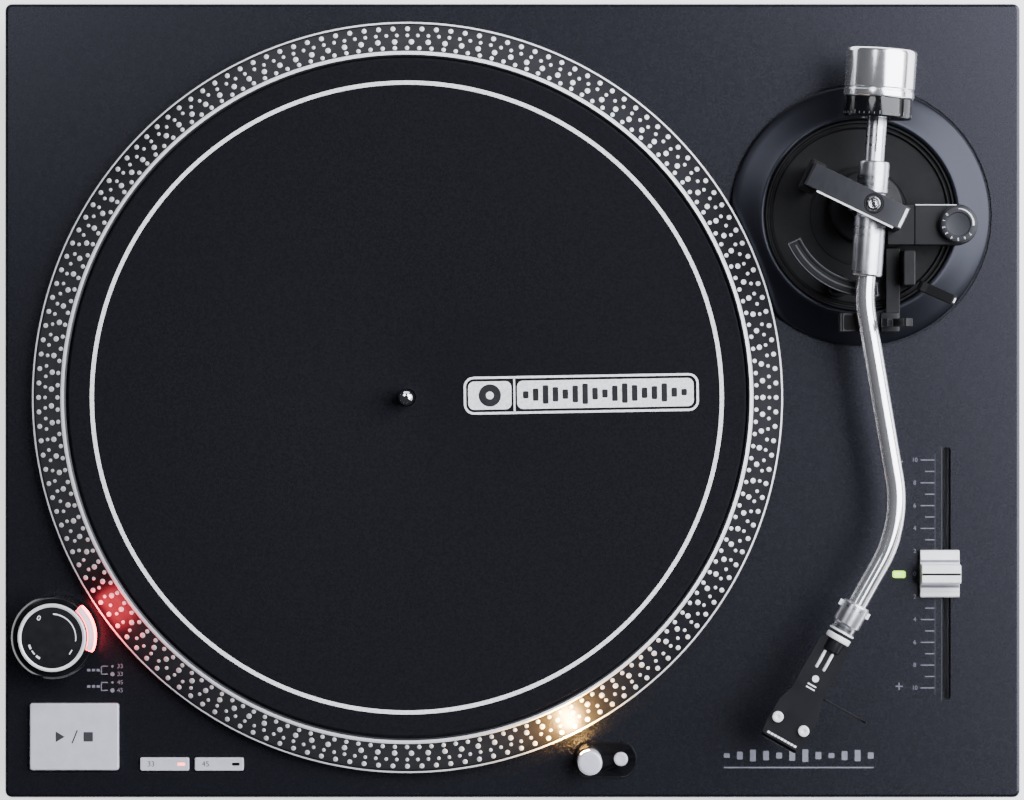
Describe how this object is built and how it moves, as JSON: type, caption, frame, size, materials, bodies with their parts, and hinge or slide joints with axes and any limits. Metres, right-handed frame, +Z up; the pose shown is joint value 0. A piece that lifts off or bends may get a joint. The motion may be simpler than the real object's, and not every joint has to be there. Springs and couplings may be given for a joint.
{
  "type": "turntable record player",
  "caption": "Belt-drive deck with a spinning platter, felt slipmat, S-shaped tonearm on a gimbal, pitch fader, strobe tower, pop-up lamp and press buttons.",
  "frame": {"origin": "on the surface the feet stand on, under the middle of the plinth", "axes": "+X to the tonearm side, +Y to the back with the sockets, +Z up"},
  "size_m": [0.45, 0.352, 0.144],
  "materials": {
    "plinth": "satin dark blue-grey lacquer with a very fine grain",
    "black_plastic": "satin black",
    "black_metal": "black anodised",
    "rubber": "matt black",
    "platter_metal": "dark cast and turned aluminium with a polished lip and bright strobe dots",
    "steel": "turned, plated",
    "satin_metal": "satin anodised",
    "button_silver": "silver-grey satin",
    "chrome": "polished chrome",
    "tube_metal": "polished",
    "felt": "black wool felt with a printed pale ring and badge",
    "fader_white": "white-silver satin",
    "strobe_lens": "frosted pink lens, lit",
    "pitch_light": "green lens, lit",
    "circuit_board": "green board"
  },
  "bodies": {
    "chassis": {"plinth_shell": "plinth", "base_cover": "black_plastic", "foot_front_left": "rubber", "foot_front_right": "rubber", "foot_rear_left": "rubber", "foot_rear_right": "rubber", "main_bearing": "steel", "motor": "steel", "drive_belt": "rubber", "control_board": "circuit_board", "power_transformer": "steel", "strobe_tower": "black_plastic", "strobe_lens": "strobe_lens", "lamp_housing": "black_plastic", "pitch_fader_body": "steel", "pitch_light": "pitch_light", "arm_base_ring": "plinth", "arm_base_plate": "black_plastic", "pivot_pedestal": "black_plastic", "gimbal_yoke": "black_plastic", "yoke_pivot_screw": "steel", "antiskate_block": "black_plastic", "arm_rest": "black_plastic", "cue_housing": "black_plastic", "rear_socket_panel": "black_plastic", "rca_jack_left": "steel", "rca_jack_right": "steel", "power_inlet": "black_plastic"},
    "platter": {"platter": "platter_metal", "spindle": "steel"},
    "slipmat": {"slipmat": "felt"},
    "motor_pulley": {"motor_pulley": "steel"},
    "start_stop_button": {"start_stop_button": "button_silver"},
    "speed_button_33": {"speed_button_33": "button_silver"},
    "speed_button_45": {"speed_button_45": "button_silver"},
    "power_knob": {"power_knob": "black_plastic"},
    "target_lamp": {"target_lamp": "satin_metal"},
    "lamp_button": {"lamp_button": "satin_metal"},
    "pitch_knob": {"pitch_knob": "fader_white"},
    "gimbal": {"gimbal_ring": "steel", "pitch_screw_left": "steel", "pitch_screw_right": "steel"},
    "tonearm": {"arm_sleeve": "satin_metal", "tonearm_tube": "tube_metal", "headshell": "black_metal", "finger_lift": "black_metal", "cartridge": "black_plastic", "stylus": "satin_metal", "cartridge_screw_left": "steel", "cartridge_screw_right": "steel"},
    "locking_collar": {"locking_collar": "steel"},
    "counterweight_insert": {"counterweight_insert": "steel"},
    "counterweight": {"counterweight": "chrome"},
    "tracking_dial": {"tracking_dial": "black_plastic"},
    "arm_clip": {"arm_clip": "black_plastic"},
    "cue_lever": {"cue_lever": "black_plastic"},
    "lift_platform": {"lift_platform": "black_plastic"},
    "antiskate_knob": {"antiskate_knob": "black_plastic"},
    "ground_terminal": {"ground_terminal": "steel"}
  },
  "joints": [
    {"name": "platter_spin", "type": "hinge", "parent": "chassis", "child": "platter", "pos_m": [-0.0464, 0.0014, 0.1], "axis": [0, 0, -1], "continuous": true},
    {"name": "slipmat_slip", "type": "hinge", "parent": "platter", "child": "slipmat", "pos_m": [-0.0464, 0.0014, 0.1067], "axis": [0, 0, -1], "continuous": true},
    {"name": "pulley_spin", "type": "hinge", "parent": "chassis", "child": "motor_pulley", "pos_m": [-0.13647, 0.0534, 0.097], "axis": [0, 0, -1], "continuous": true},
    {"name": "start_stop_press", "type": "slide", "parent": "chassis", "child": "start_stop_button", "axis": [0, 0, -1], "range_m": [0, 0.0012], "stiffness_N_per_m": 400, "springref_m": -0.002},
    {"name": "speed_33_press", "type": "slide", "parent": "chassis", "child": "speed_button_33", "axis": [0, 0, -1], "range_m": [0, 0.001], "stiffness_N_per_m": 400, "springref_m": -0.002},
    {"name": "speed_45_press", "type": "slide", "parent": "chassis", "child": "speed_button_45", "axis": [0, 0, -1], "range_m": [0, 0.001], "stiffness_N_per_m": 400, "springref_m": -0.002},
    {"name": "power_turn", "type": "hinge", "parent": "chassis", "child": "power_knob", "pos_m": [-0.2018, -0.1039, 0.113], "axis": [0, 0, 1], "range_deg": [0, 70]},
    {"name": "lamp_pop_up", "type": "slide", "parent": "chassis", "child": "target_lamp", "axis": [0, 0, -1], "range_m": [0, 0.014], "stiffness_N_per_m": 40, "springref_m": -0.015},
    {"name": "lamp_button_press", "type": "slide", "parent": "chassis", "child": "lamp_button", "axis": [0, 0, -1], "range_m": [0, 0.0015], "stiffness_N_per_m": 400, "springref_m": -0.002},
    {"name": "pitch_slide", "type": "slide", "parent": "chassis", "child": "pitch_knob", "axis": [0, 1, 0], "range_m": [-0.05, 0.05]},
    {"name": "arm_yaw", "type": "hinge", "parent": "chassis", "child": "gimbal", "pos_m": [0.1563, 0.0853, 0.128], "axis": [0, 0, -1], "range_deg": [0, 46]},
    {"name": "arm_pitch", "type": "hinge", "parent": "gimbal", "child": "tonearm", "pos_m": [0.1563, 0.0853, 0.128], "axis": [-0.9976, 0.0698, 0], "range_deg": [0, 12]},
    {"name": "collar_turn", "type": "hinge", "parent": "tonearm", "child": "locking_collar", "pos_m": [0.14682, -0.09459, 0.128], "axis": [0.4871, 0.8733, 0], "range_deg": [0, 90]},
    {"name": "counterweight_travel", "type": "slide", "parent": "tonearm", "child": "counterweight_insert", "axis": [0.0698, 0.9976, 0], "range_m": [-0.006, 0.01]},
    {"name": "counterweight_turn", "type": "hinge", "parent": "counterweight_insert", "child": "counterweight", "pos_m": [0.1563, 0.0853, 0.128], "axis": [0.0698, 0.9976, 0], "range_deg": [-271, 451]},
    {"name": "dial_turn", "type": "hinge", "parent": "counterweight", "child": "tracking_dial", "pos_m": [0.1563, 0.0853, 0.128], "axis": [0.0698, 0.9976, 0], "continuous": true},
    {"name": "clip_close", "type": "hinge", "parent": "chassis", "child": "arm_clip", "pos_m": [0.163, 0.034, 0.1318], "axis": [0, -1, 0], "range_deg": [0, 125]},
    {"name": "cue_lower", "type": "hinge", "parent": "chassis", "child": "cue_lever", "pos_m": [0.1806, 0.05, 0.108], "axis": [0.4242, 0.9056, 0], "range_deg": [0, 50.1]},
    {"name": "lift_travel", "type": "slide", "parent": "chassis", "child": "lift_platform", "axis": [0, 0, -1], "range_m": [0, 0.005]},
    {"name": "antiskate_turn", "type": "hinge", "parent": "chassis", "child": "antiskate_knob", "pos_m": [0.1959, 0.0775, 0.107], "axis": [0, 0, -1], "range_deg": [0, 270]},
    {"name": "ground_turn", "type": "hinge", "parent": "chassis", "child": "ground_terminal", "pos_m": [0.134, 0.168, 0.053], "axis": [0, 1, 0], "range_deg": [0, 360]}
  ],
  "couplings": [
    {"joint": "pulley_spin", "follows": "platter_spin", "ratio": 10.893},
    {"joint": "counterweight_turn", "follows": "counterweight_travel", "rad_per_m": 785.4},
    {"joint": "cue_lower", "follows": "lift_travel", "rad_per_m": 174.53}
  ]
}
